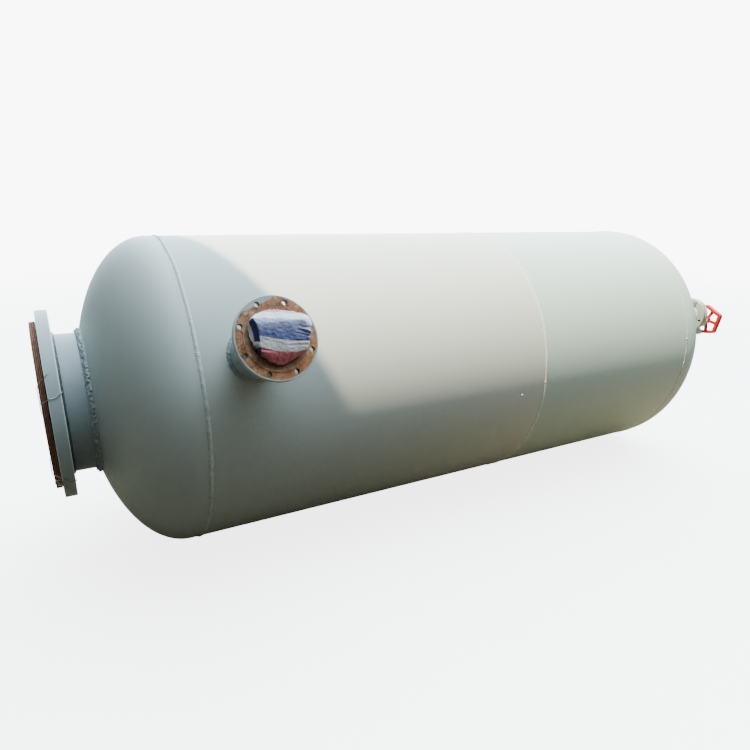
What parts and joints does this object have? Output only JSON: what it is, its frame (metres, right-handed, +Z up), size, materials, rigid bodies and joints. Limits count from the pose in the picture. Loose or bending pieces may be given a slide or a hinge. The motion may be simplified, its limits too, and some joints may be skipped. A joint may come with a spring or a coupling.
{
  "type": "horizontal pressure tank",
  "caption": "Horizontal welded pressure tank with dished heads, a large end flange closed with plywood, a side nozzle stuffed with a striped bag, and an angle valve with a red handwheel",
  "frame": {"origin": "centre of the bolting face on the large end flange, on the tank's axis", "axes": "+X along the tank's axis into the vessel, +Z up, -Y the side that carries the side nozzle"},
  "size_m": [4.776, 1.8835, 1.575],
  "materials": {
    "vessel_paint": "satin grey-green paint",
    "weld_paint": "painted weld bead",
    "end_flange_paint": "satin grey paint",
    "rusty_flange": "rusted steel with remains of grey paint",
    "plywood": "weathered brown plywood",
    "striped_cloth": "woven plastic cloth with red, white and blue stripes",
    "valve_paint": "grey painted casting",
    "gasket": "matt sheet gasket",
    "fasteners": "plain steel",
    "brass": "dull brass",
    "handwheel_red": "red paint"
  },
  "bodies": {
    "tank": {"left_head": "vessel_paint", "right_head": "vessel_paint", "left_shell_course": "vessel_paint", "right_shell_course": "vessel_paint", "left_girth_weld": "weld_paint", "middle_girth_weld": "weld_paint", "right_girth_weld": "weld_paint", "left_course_weld": "weld_paint", "right_course_weld": "weld_paint", "end_neck": "vessel_paint", "end_neck_weld": "weld_paint", "end_flange": "end_flange_paint", "end_flange_back_weld": "weld_paint", "end_flange_face_weld": "weld_paint", "plywood_cover": "plywood", "side_neck": "vessel_paint", "side_neck_weld": "weld_paint", "side_flange": "rusty_flange", "side_flange_back_weld": "weld_paint", "side_flange_face_weld": "rusty_flange", "striped_bag": "striped_cloth", "outlet_neck": "vessel_paint", "outlet_neck_weld": "weld_paint", "outlet_flange": "vessel_paint", "outlet_flange_back_weld": "weld_paint", "outlet_flange_face_weld": "weld_paint", "outlet_gasket": "gasket", "outlet_studs": "fasteners", "valve_body": "valve_paint", "bonnet": "valve_paint", "bonnet_bolts": "fasteners", "packing_nut": "brass"},
    "wheel": {"handwheel": "handwheel_red", "valve_stem": "fasteners", "handwheel_nut": "fasteners"}
  },
  "joints": [
    {"name": "handwheel_turn", "type": "hinge", "parent": "tank", "child": "wheel", "pos_m": [4.71098, -0.35, 0.099], "axis": [1, 0, 0], "range_deg": [0, 1800]}
  ]
}
